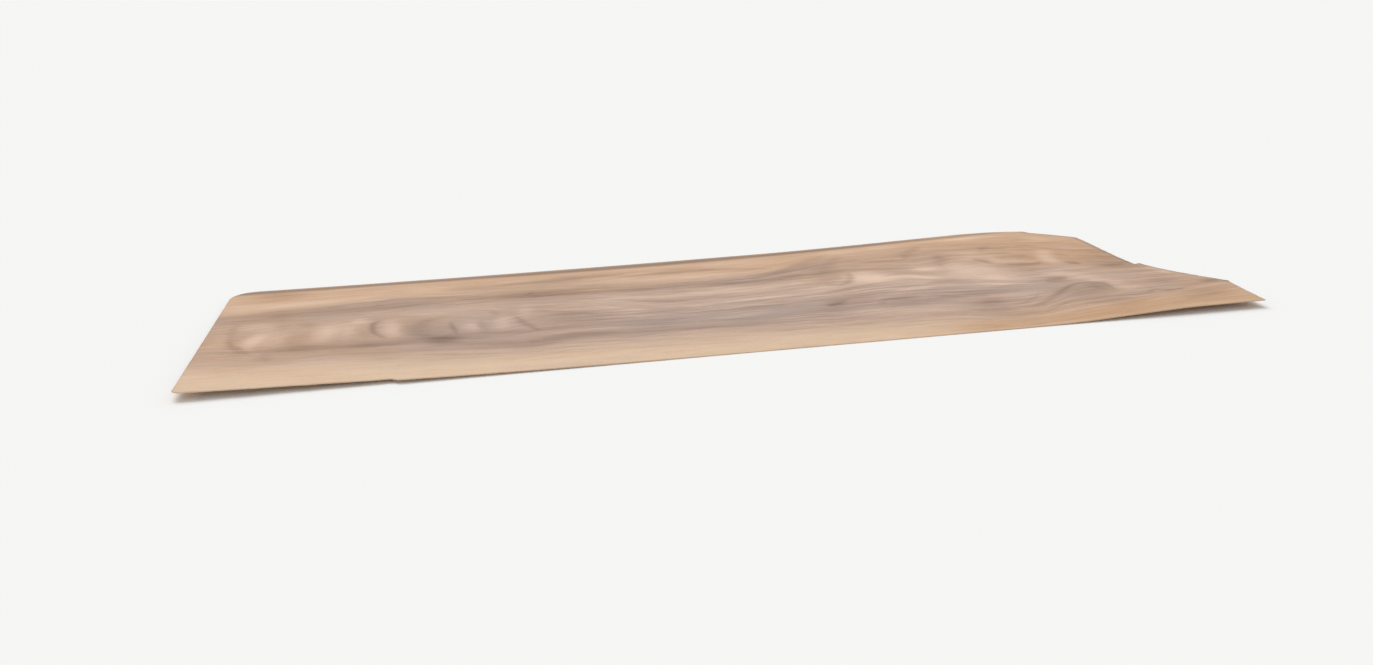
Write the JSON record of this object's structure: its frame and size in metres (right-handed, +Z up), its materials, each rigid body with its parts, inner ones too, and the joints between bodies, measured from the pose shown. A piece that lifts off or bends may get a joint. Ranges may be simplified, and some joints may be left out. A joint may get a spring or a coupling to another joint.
{
  "type": "wood veneer sheet",
  "caption": "Thin leaf of sliced walnut veneer with a swirling heart figure, pale sapwood edges, one square end and one ragged end, for facing boards and panels.",
  "frame": {"origin": "middle of the leaf's footprint, at the floor it lies on", "axes": "+X along the leaf from its square end to its ragged end, +Y across it from the near pale edge to the far edge, +Z up out of the figured face"},
  "size_m": [0.9224, 0.3088, 0.0086],
  "materials": {
    "walnut_veneer": "raw, fine sliced surface, matt"
  },
  "bodies": {
    "root": {"veneer_sheet": "walnut_veneer"}
  },
  "joints": []
}
